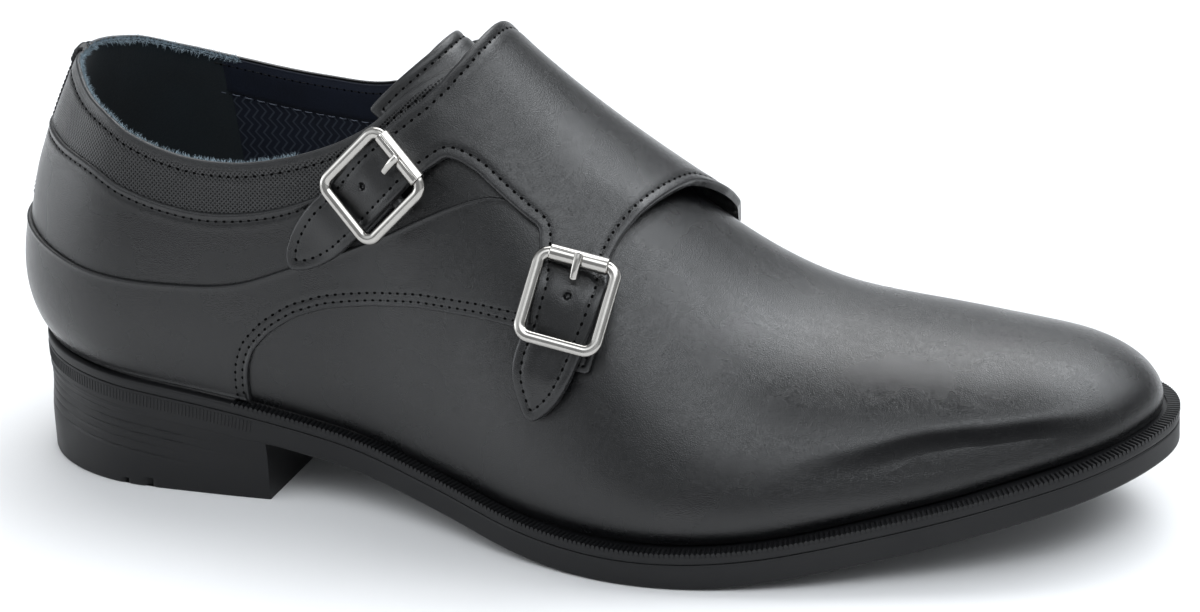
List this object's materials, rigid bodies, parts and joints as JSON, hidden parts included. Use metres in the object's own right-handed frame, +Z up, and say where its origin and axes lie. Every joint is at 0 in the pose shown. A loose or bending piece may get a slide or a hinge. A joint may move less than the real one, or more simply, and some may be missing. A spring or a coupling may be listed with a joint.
{
  "type": "double monk strap shoe",
  "caption": "Black leather double monk-strap dress shoe for the right foot, with buckled straps on the outer side, a rubber sole and a block heel.",
  "frame": {"origin": "on the floor under the centre of the heel", "axes": "+X to the toe, +Y to the inner side of the foot, -Y to the buckle side, +Z up"},
  "size_m": [0.2916, 0.1048, 0.1164],
  "materials": {
    "black_leather": "smooth, half gloss",
    "strap_leather": "smooth, half gloss",
    "black_rubber": "satin",
    "dark_lining": "matt",
    "nickel": "polished"
  },
  "bodies": {
    "root": {"sole_unit": "black_rubber", "welt": "black_rubber", "insole": "dark_lining", "upper": "black_leather", "back_strip": "black_leather", "tongue": "black_leather", "strap_flap": "strap_leather", "chape_upper": "strap_leather", "chape_lower": "strap_leather", "buckle_frame_upper": "nickel", "buckle_frame_lower": "nickel", "roller_upper": "nickel", "roller_lower": "nickel", "prong_upper": "nickel", "prong_lower": "nickel"}
  },
  "joints": []
}
